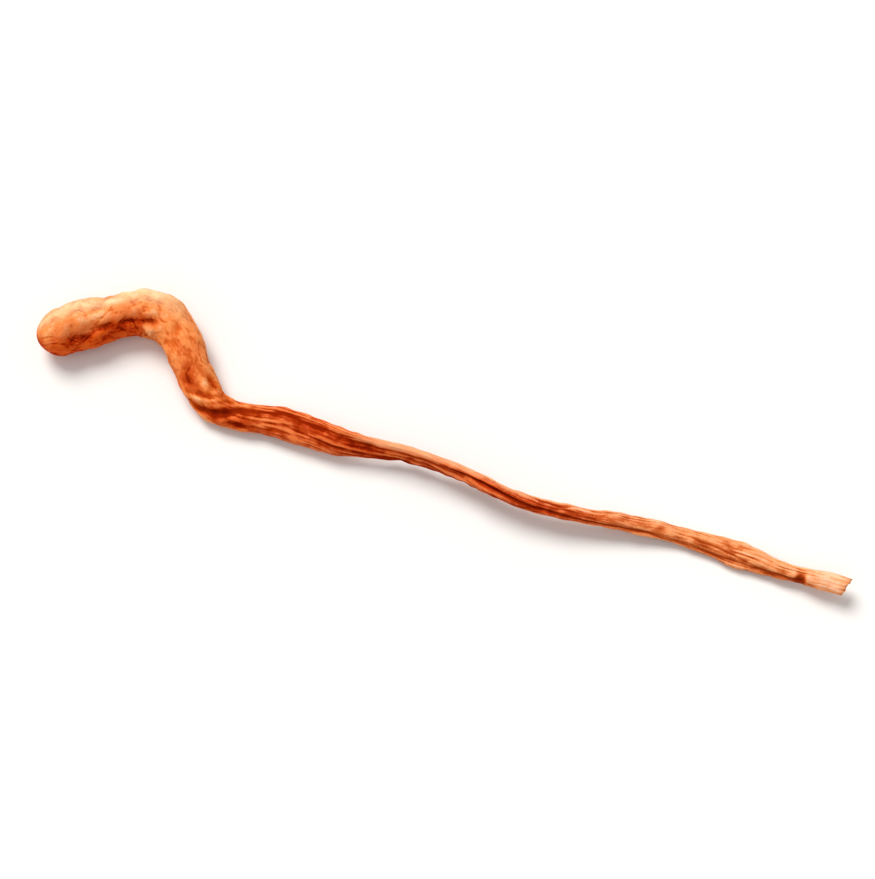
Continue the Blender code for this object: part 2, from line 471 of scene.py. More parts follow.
@dataclass(frozen=True)
class Tone:
    """Where the skin is paler than its relief alone would make it, and below zero where it is darker:
    partly painted light and shade, partly the skin's own uneven tone.
    """

    patches: tuple[Patch, ...] = tuple(
        Patch(*row) for row in (
            (3.8, 103, 1.7, 15, -0.12), (4.4, 121, 2.5, 20, 0.2), (6.3, 121, 1.3, 16, 0.1),
            (4.9, 150, 2.6, 22, -0.15), (11.8, 105, 3.4, 9, -0.08), (11.8, 120, 3.4, 13, 0.2),
            (14.2, 120, 1.4, 16, -0.1), (15.8, 94, 1.3, 18, 0.12), (16, 149, 1.6, 26, 0.18),
            (17.6, 130, 2, 60, 0.05), (23.7, 118, 1.2, 22, -0.16), (26, 40, 1.2, 34, -0.1),
            (28, 102, 1.2, 40, -0.2), (28.2, 148, 1.1, 22, -0.22), (29.8, 110, 1.6, 26, -0.17),
            (30.4, 134, 1.3, 20, -0.16), (32.4, 66, 1.8, 16, -0.1), (32.4, 88, 2.4, 18, -0.17),
            (35.2, 106, 3.6, 20, 0.1), (36, 60, 3, 16, 0.08), (37, 82, 3.2, 18, -0.08),
            (40, 50, 2.6, 16, 0.1), (40.6, 84, 2.4, 26, -0.14), (41.5, 128, 3.2, 26, 0.06),
            (45.2, 56, 3.2, 18, 0.25), (45, 92, 2.6, 20, -0.18), (49.5, 48, 2.6, 24, 0.32),
            (50.2, 33, 2.6, 16, 0.2), (54, 48, 2.8, 22, 0.24), (54.2, 20, 2.6, 15, -0.12),
            (58.2, 5, 2.4, 16, -0.1), (58.2, 29, 2.4, 18, -0.12), (57.5, -20, 2.8, 26, 0.1),
            (61.5, -8, 3.2, 28, -0.38), (62.5, -42, 3, 22, -0.08), (66, 22, 3, 24, -0.41),
            (66, -6, 2.6, 14, 0.25), (66.5, -34, 3, 30, -0.46), (70.8, -47, 3.2, 28, -0.23),
            (71.5, -84, 3.4, 24, 0.08), (74.5, -64, 3, 24, -0.2), (74.5, -14, 3, 22, 0.04),
            (78, -73, 3, 24, -0.12), (78.5, -23, 3, 24, 0.1), (82.5, -28, 3, 24, 0.08),
            (82.5, -56, 3, 18, -0.06), (84, -107, 6, 44, -0.05), (86.5, -62, 2.6, 22, -0.16),
            (86.5, -34, 2.4, 22, 0.1), (90, -41, 1.9, 24, 0.36), (90.2, -70, 2.2, 18, -0.18),
            (94, -46, 2.4, 24, 0.07), (95.6, -68, 1.2, 20, -0.2), (95.7, -104, 1, 20, 0.12),
            (97.1, -98, 0.6, 18, 0.16), (99.7, -66, 1.9, 80, 0.46),
        )
    )

    def at(self, distances: Array, angles: Array) -> Array:
        """How much paler the skin is at each point, partly as painted light and shade."""
        return sum(patch.share(distances[:, None], angles[None, :]) for patch in self.patches)


@dataclass(frozen=True)
class SkinFinish:
    """Dry, matte, mottled orange skin; painted shade in its folds, dust and painted highlight on ridges.

    Each stretch has a palette: its colours from the bottoms of the folds, darkest as painted shade, up
    to the ridges, palest partly as painted highlight.
    """

    head: Palette = (
        (0.42, 0.040, 0.003), (0.68, 0.130, 0.016), (0.88, 0.270, 0.066), (0.93, 0.480, 0.225)
    )
    # Deeper red skin, its darker colours partly painted shade
    reddened_and_shaded: Palette = (
        (0.17, 0.006, 0.001), (0.49, 0.034, 0.002), (0.70, 0.092, 0.007), (0.87, 0.190, 0.032)
    )
    stem: Palette = (
        (0.26, 0.015, 0.001), (0.48, 0.050, 0.004), (0.75, 0.160, 0.030), (0.85, 0.220, 0.066)
    )
    base: Palette = (
        (0.34, 0.045, 0.007), (0.62, 0.145, 0.032), (0.84, 0.320, 0.120), (0.93, 0.520, 0.315)
    )
    # How far a place stands out where it has each of the four
    palette_places: tuple[float, ...] = (0.10, 0.34, 0.52, 0.86)
    # Pale dust, and the same colour as painted highlight on the ridges and the head's upper face
    pale_dust_and_highlight: Colour = (0.86, 0.66, 0.37)
    # A painted highlight along the stem's upper edge
    edge_highlight: Colour = (0.88, 0.43, 0.22)
    dark_speck: Colour = (0.34, 0.050, 0.006)
    # Between the spots and on them
    roughness: Span = (0.82, 0.58)
    subsurface: float = 0.20
    subsurface_radius: Colour = (1.0, 0.35, 0.12)
    subsurface_scale: float = 0.7 * MM
    specular: float = 0.22


@dataclass(frozen=True)
class CutFinish:
    """The pale, fibrous flesh on the cut end."""

    flesh: Colour = (0.92, 0.48, 0.21)
    rim: Colour = (0.76, 0.27, 0.085)
    pore: Colour = (0.48, 0.13, 0.035)
    pore_share: float = 0.7
    roughness: float = 0.85


class Graph:
    """A node tree that is being filled."""

    def __init__(self, tree: Tree) -> None:
        """Keeps the tree."""
        self.tree = tree

    def feed(self, socket: Socket, value: object) -> None:
        """Links an output to a socket, or sets the socket's value.

        Args:
            socket: The socket.
            value: The output or the value.
        """
        if isinstance(value, Socket):
            self.tree.links.new(value, socket)
        elif socket.type == "RGBA":
            socket.default_value = (*value, 1.0)
        else:
            socket.default_value = value

    def fill(self, node: bpy.types.Node, **given: object) -> bpy.types.Node:
        """Sets up a node.

        Args:
            node: The node.
            **given: Its properties by their names, and its inputs by theirs with _ for each space.
                Only an input's name has capitals, and it takes a value or an output.

        Returns:
            The node.
        """
        for name, value in given.items():
            if name.islower():
                setattr(node, name, value)
            else:
                self.feed(node.inputs[name.replace("_", " ")], value)
        return node

    def add(self, kind: str, **given: object) -> bpy.types.Node:
        """Adds a node of a type, named without the words ShaderNode, and sets it up."""
        return self.fill(self.tree.nodes.new(f"ShaderNode{kind}"), **given)

    def effect(self, group: Tree, grain: Socket, **inputs: object) -> Socket:
        """Places one of the shared effects at places in the strand."""
        return self.add("Group", node_tree=group, Vector=grain, **inputs).outputs[0]

    def read(self, mark: Mark) -> Socket:
        """Reads a value that the mesh carries."""
        output = "Vector" if mark is Mark.GRAIN else "Fac"
        return self.add("Attribute", attribute_name=mark.value).outputs[output]

    def math(self, operation: str, *values: object, kind: str = "Math") -> Socket:
        """Does a sum.

        Args:
            operation: The node's operation.
            *values: Its numbers or outputs, in order.
            kind: Math, or VectorMath for a sum of vectors.

        Returns:
            The result.
        """
        node = self.add(kind, operation=operation)
        for socket, value in zip(node.inputs, values):
            self.feed(socket, value)
        return node.outputs[0]

    def total(self, *values: object) -> Socket:
        """Adds up any number of values."""
        return reduce(partial(self.math, "ADD"), values)

    def times(self, *values: object) -> Socket:
        """Multiplies any number of values."""
        return reduce(partial(self.math, "MULTIPLY"), values)

    def between(self, share: object, limits: Span) -> Socket:
        """Goes from the first limit to the second as the share goes from 0 to 1."""
        return self.math("MULTIPLY_ADD", share, limits[1] - limits[0], limits[0])

    def off_middle(self, mask: object, step: float) -> Socket:
        """How far a mask is from its middle, times a step."""
        return self.times(self.math("SUBTRACT", mask, 0.5), step)

    def span(self, value: object, low: object, high: object) -> Socket:
        """Spreads the values from low to high smoothly over 0 to 1."""
        node = self.add("MapRange", interpolation_type="SMOOTHSTEP", Value=value, From_Min=low, From_Max=high)
        return node.outputs[0]

    def mix(self, share: object, first: object, second: object) -> Socket:
        """Mixes two colours.

        Args:
            share: How much of the second there is.
            first: The colour where the share is 0.
            second: The colour where it is 1.

        Returns:
            The mixed colour.
        """
        node = self.add("Mix", data_type="RGBA", Factor=share)
        # Counted from 0, the colours go into inputs 6 and 7, and output 2 is the mixed one
        self.feed(node.inputs[6], first)
        self.feed(node.inputs[7], second)
        return node.outputs[2]


def new_material(name: str) -> tuple[Material, Graph, bpy.types.Node]:
    """Starts a material.

    Args:
        name: Its name.

    Returns:
        The material, its graph and its Principled BSDF.
    """
    material = bpy.data.materials.new(name)
    material.use_nodes = True
    return material, Graph(material.node_tree), material.node_tree.nodes["Principled BSDF"]


class EffectGroups:
    """The surface effects that the materials share, each built once as a node group.

    Each takes places in the strand, and scales are in swells or cells to a millimetre.
    """

    def __init__(self) -> None:
        """Builds the groups."""
        self.mottle = self.make_mottle()
        self.fibre = self.make_fibre()
        self.speck = self.make_speck()
        self.cells = self.make_cells()

    @staticmethod
    def start(name: str, inputs: dict[str, float | None], output: str) -> tuple:
        """Starts a group with named sockets.

        Args:
            name: The group's name.
            inputs: Its inputs and their default values, None for a vector.
            output: The name of the value that it puts out.

        Returns:
            The graph to fill, what the group is given and the socket to feed with its result.
        """
        tree = bpy.data.node_groups.new(name, "ShaderNodeTree")
        for label, default in inputs.items():
            kind = "NodeSocketVector" if default is None else "NodeSocketFloat"
            socket = tree.interface.new_socket(label, in_out="INPUT", socket_type=kind)
            if default is not None:
                socket.default_value = default
        tree.interface.new_socket(output, in_out="OUTPUT", socket_type="NodeSocketFloat")
        given, result = tree.nodes.new("NodeGroupInput").outputs, tree.nodes.new("NodeGroupOutput").inputs
        return Graph(tree), given, result[output]

    def make_mottle(self) -> Tree:
        """Uneven patches, as a mask.

        Returns:
            The group.
        """
        sockets = {"Vector": None, "Scale": 1.0, "Low": 0.4, "High": 0.6}
        graph, given, result = self.start("dry_mottle", sockets, "Mask")
        patches = graph.add("TexNoise", Vector=given["Vector"], Scale=given["Scale"],
                            Detail=4.0, Roughness=0.62, Distortion=0.6)
        graph.feed(result, graph.span(patches.outputs[0], given["Low"], given["High"]))
        return graph.tree

    def make_fibre(self) -> Tree:
        """Fine lines along the strand, as a height.

        Returns:
            The group.
        """
        sockets = {"Vector": None, "Scale": 4.0, "Stretch": 0.12}
        graph, given, result = self.start("drawn_fibre", sockets, "Height")
        drawn = graph.add("CombineXYZ", X=given["Stretch"], Y=1.0, Z=1.0).outputs[0]
        along = graph.math("MULTIPLY", given["Vector"], drawn, kind="VectorMath")
        lines = graph.add("TexNoise", Vector=along, Scale=given["Scale"],
                          Detail=5.0, Roughness=0.6, Distortion=0.25)
        graph.feed(result, lines.outputs[0])
        return graph.tree

    def make_speck(self) -> Tree:
        """Scattered small dots, as a mask.

        Returns:
            The group.
        """
        sockets = {"Vector": None, "Scale": 2.0, "Size": 0.2, "Share": 0.3}
        graph, given, result = self.start("small_specks", sockets, "Mask")
        cells = graph.add("TexVoronoi", feature="F1", Vector=given["Vector"],
                          Scale=given["Scale"], Randomness=1.0)
        chosen = graph.add("SeparateColor", Color=cells.outputs["Color"])
        kept = graph.math("LESS_THAN", chosen.outputs[0], given["Share"])
        dot = graph.span(cells.outputs["Distance"], given["Size"], 0.0)
        graph.feed(result, graph.times(dot, kept))
        return graph.tree

    def make_cells(self) -> Tree:
        """The soft borders between small swollen cells, as a mask.

        Returns:
            The group.
        """
        sockets = {"Vector": None, "Scale": 0.8, "Width": 0.3}
        graph, given, result = self.start("cell_borders", sockets, "Mask")
        drift = graph.add("TexNoise", Vector=given["Vector"], Scale=0.9, Detail=2.0)
        reach = (1.4, 1.4, 1.4)
        bent = graph.math("MULTIPLY_ADD", drift.outputs["Color"], reach, given["Vector"], kind="VectorMath")
        cells = graph.add("TexVoronoi", feature="DISTANCE_TO_EDGE", Vector=bent, Scale=given["Scale"])
        graph.feed(result, graph.span(cells.outputs["Distance"], given["Width"], 0.0))
        return graph.tree


@dataclass
class SkinMaterial:
    """Builds the skin's material."""

    effects: EffectGroups
    finish: SkinFinish = SkinFinish()
    # Where along the strand the neck's cells come in and go, its evenness does too, and the painted
    # highlight on the stem's upper edge comes in
    neck_begins: Span = (12.0, 19.0)
    neck_ends: Span = (42.0, 28.0)
    calm_begins: Span = (14.0, 17.5)
    calm_ends: Span = (26.0, 24.0)
    edge_begins: Span = (42.0, 49.0)
    # How far each effect moves a place along its palette. The pairs are for the cells off the neck and
    # on it, the streaks and the upper edge's painted light on the head and on the stem, and the patches
    # on plain skin and on deeper red skin with its painted shade
    spot_step: float = 0.05
    pore_step: float = 0.22
    cell_step: Span = (-0.04, -0.11)
    streak_step: Span = (0.056, 0.336)
    patch_step: Span = (0.16, 0.32)
    edge_step: Span = (0.05, 0.19)
    # How even the neck is, and what it evens out to
    calm_share: float = 0.35
    calm_level: float = 0.45
    # Painted shade on the head: its ridges are pale only towards its upper edge, where the light
    # falls: where that begins, and the highest ridge before it and after it
    highlight_ridge_edge: Span = (-0.10, 0.45)
    ridge_limit: Span = (0.62, 1.0)
    # Where the painted highlight on the stem's upper edge comes in round it and up the ridges, and its
    # share
    upper_edge: Span = (0.10, 0.70)
    upper_ridge: Span = (0.35, 0.60)
    upper_share: float = 0.7
    # The same for the pale bloom on the ridges, partly dust and partly painted highlight
    bloom_highlight_edge: Span = (-0.30, 0.35)
    bloom_highlight_ridge: Span = (0.50, 0.90)
    bloom_highlight_share: float = 0.14
    # The same for the pale bloom on the head's outer edge, partly dust and partly painted highlight
    # where it faces up, with its share off the patches and on them, how far above the strand's middle
    # it comes in, and its share below and above that
    outer_edge: Span = (0.30, 0.80)
    outer_ridge: Span = (-0.06, 0.20)
    outer_share: Span = (0.45, 0.90)
    outer_height: Span = (0.1, 2.3)
    outer_facing: Span = (0.08, 1.0)
    dot_share: float = 0.25
    dust_share: float = 0.22
    # Where up the ridges the skin shines, and how much of that it does where deeper red and shaded and
    # where plain
    shine_ridge: Span = (0.20, 0.50)
    shine_share: Span = (0.2, 1.0)

    def shades(self, graph: Graph, palette: Palette, ridge: Socket) -> Socket:
        """The colour of one stretch.

        Args:
            graph: The material's graph.
            palette: The stretch's colours.
            ridge: How far a place stands out, from 0 in the folds to 1 on the ridges.

        Returns:
            The colour.
        """
        ramp = graph.add("ValToRGB", Fac=ridge)
        ramp.color_ramp.interpolation = "EASE"
        elements = ramp.color_ramp.elements
        while len(elements) < len(palette):
            elements.new(0.5)
        for element, place, colour in zip(elements, self.finish.palette_places, palette):
            element.position = place
            element.color = (*colour, 1.0)
        return ramp.outputs[0]

    def build(self) -> Material:
        """Makes the material.

        Returns:
            The dried skin.
        """
        material, graph, surface = new_material("dried_skin")
        effects, finish = self.effects, self.finish
        span, between, mix, times = graph.span, graph.between, graph.mix, graph.times
        grain, ridge, stem, base, red, tone, edge = map(graph.read, Mark)
        parted = graph.add("SeparateXYZ", Vector=grain)
        along, height = parted.outputs[0], parted.outputs[2]

        patches = graph.effect(effects.mottle, grain, Scale=0.55, Low=0.30, High=0.70)
        spots = graph.effect(effects.mottle, grain, Scale=2.6, Low=0.34, High=0.66)
        lines = graph.effect(effects.fibre, grain, Scale=3.4, Stretch=0.10)
        threads = graph.effect(effects.fibre, grain, Scale=9.0, Stretch=0.08)
        dots = graph.effect(effects.speck, grain, Scale=2.2, Size=0.34, Share=0.34)
        dust = graph.effect(effects.speck, grain, Scale=4.5, Size=0.40, Share=0.16)
        cells = graph.effect(effects.cells, grain, Scale=0.52, Width=0.46)
        pores = graph.add("TexNoise", Vector=grain, Scale=5.0, Detail=4.0, Roughness=0.65).outputs[0]

        # How far a place stands out, made uneven by the effects and by the tone's painted light and shade
        neck_in = span(along, *self.neck_begins)
        neck = times(neck_in, span(along, *self.neck_ends))
        ridge = graph.total(
            ridge,
            tone,
            graph.off_middle(spots, self.spot_step),
            graph.off_middle(pores, self.pore_step),
            times(cells, between(neck, self.cell_step)),
            graph.off_middle(lines, between(stem, self.streak_step)),
            graph.off_middle(patches, between(red, self.patch_step)),
        )
        # The neck is more even than the head
        calm = times(span(along, *self.calm_begins), span(along, *self.calm_ends), self.calm_share)
        ridge = graph.math("MULTIPLY_ADD", graph.math("SUBTRACT", self.calm_level, ridge), calm, ridge)
        # Painted light: the upper edge is paler than the lower one, most of all on the stem
        beyond = span(along, *self.edge_begins)
        ridge = graph.math("MULTIPLY_ADD", edge, between(beyond, self.edge_step), ridge)
        # Painted shade: away from the head's upper edge, its ridges stop short of their palest colours
        highlight_ridges = graph.math("MAXIMUM", span(edge, *self.highlight_ridge_edge), neck_in)
        ridge = graph.math("MINIMUM", ridge, between(highlight_ridges, self.ridge_limit))

        palettes = (finish.head, finish.stem, finish.base, finish.reddened_and_shaded)
        on_head, on_stem, on_base, reddened_and_shaded = (self.shades(graph, palette, ridge) for palette in palettes)
        # A painted highlight along the stem's upper edge
        upper = times(span(edge, *self.upper_edge), span(ridge, *self.upper_ridge), beyond, self.upper_share)
        colour = mix(upper, mix(stem, on_head, on_stem), finish.edge_highlight)
        # The paler base, then the deeper red, partly the skin's own colour and partly painted shade
        colour = mix(red, mix(base, colour, on_base), reddened_and_shaded)
        # Pale bloom, partly dust and partly painted highlight: on the ridges towards the upper side, and on
        # the head's upper face
        plain = graph.math("SUBTRACT", 1.0, red)
        bloom_and_highlight = times(
            span(edge, *self.bloom_highlight_edge), span(ridge, *self.bloom_highlight_ridge), plain, patches, self.bloom_highlight_share
        )
        outer = times(
            span(edge, *self.outer_edge), span(ridge, *self.outer_ridge), plain,
            between(patches, self.outer_share), span(along, *self.neck_begins[::-1]),
            between(span(height, *self.outer_height), self.outer_facing),
        )
        colour = mix(graph.math("MAXIMUM", bloom_and_highlight, outer), colour, finish.pale_dust_and_highlight)
        colour = mix(times(dots, self.dot_share), colour, finish.dark_speck)
        dust = times(dust, graph.math("SUBTRACT", plain, stem), self.dust_share)
        colour = mix(dust, colour, finish.pale_dust_and_highlight)

        coarse = graph.add("Bump", Strength=0.75, Distance=0.10 * MM, Height=pores)
        drawn = graph.add("Bump", Strength=0.7, Distance=0.08 * MM, Height=threads, Normal=coarse.outputs[0])
        dotted = graph.add("Bump", invert=True, Strength=0.5, Distance=0.05 * MM, Height=dots,
                           Normal=drawn.outputs[0])
        shine = times(span(ridge, *self.shine_ridge), between(plain, self.shine_share), finish.specular)
        graph.fill(
            surface,
            Base_Color=colour,
            Roughness=between(spots, finish.roughness),
            Normal=dotted.outputs[0],
            Subsurface_Weight=finish.subsurface,
            Subsurface_Radius=finish.subsurface_radius,
            Subsurface_Scale=finish.subsurface_scale,
            Specular_IOR_Level=shine,
        )
        return material


@dataclass
class CutMaterial:
    """Builds the material of the cut end."""

    effects: EffectGroups
    finish: CutFinish = CutFinish()

    def build(self) -> Material:
        """Makes the material.

        Returns:
            The cut flesh.
        """
        material, graph, surface = new_material("cut_flesh")
        effects, finish = self.effects, self.finish
        grain = graph.read(Mark.GRAIN)
        patches = graph.effect(effects.mottle, grain, Scale=3.0, Low=0.35, High=0.65)
        pores = graph.effect(effects.speck, grain, Scale=6.0, Size=0.42, Share=0.55)
        threads = graph.effect(effects.fibre, grain, Scale=12.0, Stretch=0.5)
        colour = graph.mix(patches, finish.rim, finish.flesh)
        colour = graph.mix(graph.times(pores, finish.pore_share), colour, finish.pore)
        uneven = graph.add("Bump", Strength=0.7, Distance=0.08 * MM, Height=threads)
        graph.fill(surface, Base_Color=colour, Normal=uneven.outputs[0], Roughness=finish.roughness)
        return material


@dataclass
class FruitingBody:
    """The whole strand, as one closed skin from the tip of the head to the cut end."""

    centre_line: CentreLine = CentreLine()
    relief: Relief = Relief()
    redness_and_shade: RednessAndShade = RednessAndShade()
    tone: Tone = Tone()
    # Distance from the tip, half width, half thickness, twist in degrees and lift off the floor
    sections: SmoothTable = SmoothTable(
        (
            (0, 2.75, 2.6, 0, 0.2), (3, 2.9, 2.7, 0, -0.18), (5.5, 2.95, 2.7, 0, -0.3),
            (8, 2.65, 2.5, 0, 0.1), (10.5, 2.5, 2.45, 0, 0.2), (13, 2.8, 2.65, 0, -0.24),
            (15.5, 2.75, 2.5, 0, -0.16), (18.5, 2.3, 2.2, 0, 0.35), (22, 2.18, 1.95, 0, 0.45),
            (25.5, 2.18, 1.7, 0, -0.05), (28.5, 1.8, 1.4, 2, -0.18), (32, 1.75, 1.1, 6, 0.25),
            (36.5, 1.85, 0.9, 14, 0.8), (40.5, 1.8, 0.82, 32, 1.1), (45, 1.65, 0.76, 60, 1),
            (49, 1.6, 0.76, 80, 0.9), (54, 1.6, 0.8, 92, 1), (60, 1.55, 0.92, 104, 1.3),
            (66, 1.4, 0.88, 122, 1.5), (72, 1.3, 0.75, 142, 1.3), (78, 1.2, 0.75, 158, 0.6),
            (84, 1.15, 0.75, 168, -0.1), (88.5, 1.55, 0.8, 178, -0.12), (93, 1.15, 0.8, 190, 0.35),
            (97, 0.9, 0.7, 197, 1), (99, 1.1, 0.84, 199, 1.2), (102, 1.12, 0.88, 202, 1.4),
        )
    )
    # The middle of the strand's box, measured from the tip. The frame has it at its origin
    middle: Span = (46.07, -12.49)
    # How far from the tip the head reaches its full section
    tip_length: float = 3.1
    # The cut end: its slant, how far up the stem that reaches, how deep and how steeply it is
    # hollowed, and how ragged it is
    cut_slant: float = 0.28
    cut_stretch: float = 0.98
    cut_hollow: float = 0.32
    cut_steepness: float = 1.3
    cut_ragged: tuple[Ripple, ...] = (
        Ripple(0.16, (0.0, 1.9, 1.9), 50.0),
        Ripple(0.10, (0.0, 5.0, 5.0), 55.0),
    )
    # How far above the floor the side with the painted light faces, in degrees
    highlight_side_tilt: float = 20.0
    # Millimetres from the tip over which the stem takes the paler colours of its base
    base_rise: Span = (58.0, 86.0)
    # How far round and along a place is compared with the skin beside it, and what each counts
    ridges_around: tuple[Span, ...] = ((0.20, 2.60), (0.75, 0.80), (1.6, 0.12))
    ridges_along: tuple[Span, ...] = ((0.25, 0.80), (1.0, 0.12))
    plain_ridge: float = 0.5
    notch_shade: float = 2.2
    # How finely the skin is divided
    faces_around: int = 172
    tip_rings: int = 26
    head_step: float = 0.12
    stem_step: float = 0.222
    cut_rings: int = 9
    # How far ahead and behind the centre line's direction is read, in millimetres
    nearby: float = 0.05

    def rings(self, length: float) -> Array:
        """Where the rings of points stand, in millimetres from the tip.

        Args:
            length: The length of the centre line.

        Returns:
            The distances of the rings, the last of them on the rim of the cut end.
        """
        head_end = self.relief.head_end
        turns = np.arange(1, self.tip_rings) / self.tip_rings
        tip = self.tip_length * (1.0 - np.cos(turns * math.pi / 2))
        on_head = round((head_end - self.tip_length) / self.head_step)
        head = np.linspace(self.tip_length, head_end, on_head, endpoint=False)
        stem = np.linspace(head_end, length, round((length - head_end) / self.stem_step) + 1)
        return np.concatenate((tip, head, stem))

    def skin(self) -> tuple[Array, Array, Array, dict[Mark, Array]]:
        """Works out every point of the skin.

        Returns:
            The rings' distances from the tip, the columns' angles, the points by ring and column,
            and what the mesh carries at each point.
        """
        line = self.centre_line.measured()
        length = line.rows[-1][0]
        rim = self.rings(length)
        inwards = np.concatenate((np.zeros(len(rim)), np.arange(1, self.cut_rings) / self.cut_rings))[:, None]
        distance = np.concatenate((rim, np.full(self.cut_rings - 1, length)))
        angle = np.arange(self.faces_around) * 360.0 / self.faces_around
        half_width, half_thickness, twist, lift = (column[:, None] for column in self.sections.at(distance).T)
        rounded = np.sqrt(1.0 - np.clip(1.0 - distance / self.tip_length, 0.0, 1.0) ** 2)[:, None]
        turn = np.radians(twist)
        height = np.hypot(half_width * np.sin(turn), half_thickness * np.cos(turn)) + lift
        centre = line.at(distance)
        along = line.at(distance + self.nearby) - line.at(distance - self.nearby)
        along /= np.linalg.norm(along, axis=1)[:, None]
        side = np.column_stack((-along[:, 1], along[:, 0]))
        x_and_y = tuple(zip(*(direction.T[..., None] for direction in (centre, side, along))))

        def placed(sideways: Array, onward: Array | float, up: Array) -> Array:
            """The points that lie so far beside, beyond and above the centre line."""
            flat = (middle + beside * sideways + ahead * onward for middle, beside, ahead in x_and_y)
            return np.stack((*flat, up), axis=-1)

        round_x, round_y = np.cos(np.radians(angle))[None, :], np.sin(np.radians(angle))[None, :]
        across, through = half_width * round_x, half_thickness * round_y
        outward = np.stack((round_x / half_width, round_y / half_thickness), axis=-1)
        outward /= np.linalg.norm(outward, axis=-1, keepdims=True)
        probe = placed(across, 0.0, height + through)
        grain = np.stack((np.broadcast_to(distance[:, None], across.shape), across, through), axis=-1)
        stem = np.broadcast_to(self.relief.stem_share(distance)[:, None], across.shape)
        raised = self.relief.height_at(probe, grain, stem, distance[:, None], angle[None, :])
        shrink = rounded * (1.0 - inwards)
        across = (across + outward[..., 0] * raised) * shrink
        through = (through + outward[..., 1] * raised) * shrink
        sideways = across * np.cos(turn) - through * np.sin(turn)
        upward = across * np.sin(turn) + through * np.cos(turn)
        tilt = math.radians(self.highlight_side_tilt)
        edge = sideways * math.cos(tilt) + upward * math.sin(tilt)
        edge /= np.maximum(np.abs(edge).max(axis=1, keepdims=True), TINY)
        near_cut = ease((distance - length + self.cut_stretch) / self.cut_stretch)[:, None]
        ragged = sum(ripple.swell(grain) for ripple in self.cut_ragged)
        hollow = self.cut_hollow * ease(inwards * self.cut_steepness)
        pushed = (self.cut_slant * sideways + ragged) * near_cut - hollow
        grain = np.stack((grain[..., 0] + pushed, across, through), axis=-1)
        start, full = self.base_rise
        marks = {
            Mark.GRAIN: grain,
            Mark.STEM: stem,
            Mark.BASE: ease((grain[..., 0] - start) / (full - start)),
            Mark.RED: self.redness_and_shade.share(distance, angle, grain),
            Mark.TONE: self.tone.at(distance, angle),
            Mark.EDGE: edge,
        }
        return distance, angle, placed(sideways, pushed, np.maximum(height + upward, 0.0)), marks

    def ridges(self, points: Array, distance: Array, angle: Array) -> Array:
        """How far each point stands out of the skin round it.

        Args:
            points: The skin's points by ring and column.
            distance: One for each ring.
            angle: One for each column.

        Returns:
            From 0 at the bottom of a fold, through about 0.5 on plain skin, to 1 on a ridge.
        """
        ahead, behind = np.roll(points, -1, axis=0), np.roll(points, 1, axis=0)
        ahead[-1], behind[0] = points[-1], points[0]
        normal = np.cross(np.roll(points, -1, axis=1) - np.roll(points, 1, axis=1), ahead - behind)
        normal /= np.maximum(np.linalg.norm(normal, axis=-1, keepdims=True), TINY)
        perimeter = np.linalg.norm(np.roll(points, -1, axis=1) - points, axis=-1).sum(axis=1)
        ridge = np.full(points.shape[:-1], self.plain_ridge)
        for reach, weight in self.ridges_around:
            for ring, row in enumerate(points):
                gap = max(perimeter[ring] / self.faces_around, TINY)
                # Where the section is small, at most a sixth of the way round
                columns = min(max(1, round(reach / gap)), self.faces_around // 6)
                around = (np.roll(row, columns, axis=0) + np.roll(row, -columns, axis=0)) / 2
                stands_out = ((row - around) * normal[ring]).sum(axis=-1)
                # What a plain round section would give
                plain = (1.0 - math.cos(math.tau * columns / self.faces_around)) * perimeter[ring] / math.tau
                ridge[ring] += weight * (stands_out - plain)
        for reach, weight in self.ridges_along:
            ahead = np.searchsorted(distance, distance + reach).clip(max=len(distance) - 1)
            behind = np.searchsorted(distance, distance - reach)
            inside = (distance > reach) & (distance < distance[-1] - reach)
            stands_out = ((points - (points[ahead] + points[behind]) / 2) * normal).sum(axis=-1)
            ridge += weight * stands_out * inside[:, None]
        ridge -= self.notch_shade * self.relief.notch.depth_at(distance[:, None], angle[None, :])
        return np.clip(ridge, 0.0, 1.0)

    def build(self, skin: Material, flesh: Material) -> Object:
        """Makes the strand's mesh and dresses it.

        Args:
            skin: The material of the skin.
            flesh: The material of the cut end.

        Returns:
            The finished piece.
        """
        distance, angle, points, marks = self.skin()
        marks[Mark.RIDGE] = self.ridges(points, distance, angle)
        rings, columns = points.shape[:2]
        start = self.sections.rows[0]
        tip = np.array([[*self.centre_line.points[0], start[2] + start[4]]])
        corners = np.concatenate((tip, points.reshape(-1, 3), points[-1].mean(axis=0, keepdims=True)))
        corners[:, :2] -= np.array(self.middle)

        index = 1 + np.arange(rings * columns).reshape(rings, columns)
        beside = np.roll(index, -1, axis=1)
        quads = np.stack((index[1:], beside[1:], beside[:-1], index[:-1]), axis=-1).reshape(-1, 4)
        faces = [(0, b, a) for a, b in zip(index[0].tolist(), beside[0].tolist())]
        faces += quads.tolist()
        faces += [(a, b, len(corners) - 1) for a, b in zip(index[-1].tolist(), beside[-1].tolist())]
        mesh = bpy.data.meshes.new("cordyceps_skin")
        mesh.from_pydata((corners * MM).tolist(), [], faces)
        mesh.validate()

        for mark, values in marks.items():
            # The two end points are plain, or have the mean of the ring beside them
            share = 0.0 if mark in (Mark.RED, Mark.TONE, Mark.EDGE) else 1.0
            first, last = (values[end].mean(axis=0, keepdims=True) * share for end in (0, -1))
            every = np.concatenate((first, values.reshape(-1, *values.shape[2:]), last))
            kind, part = ("FLOAT_VECTOR", "vector") if mark is Mark.GRAIN else ("FLOAT", "value")
            mesh.attributes.new(mark.value, kind, "POINT").data.foreach_set(part, every.ravel())

        mesh.materials.append(skin)
        mesh.materials.append(flesh)
        flags = np.zeros(len(mesh.polygons), dtype=np.int32)
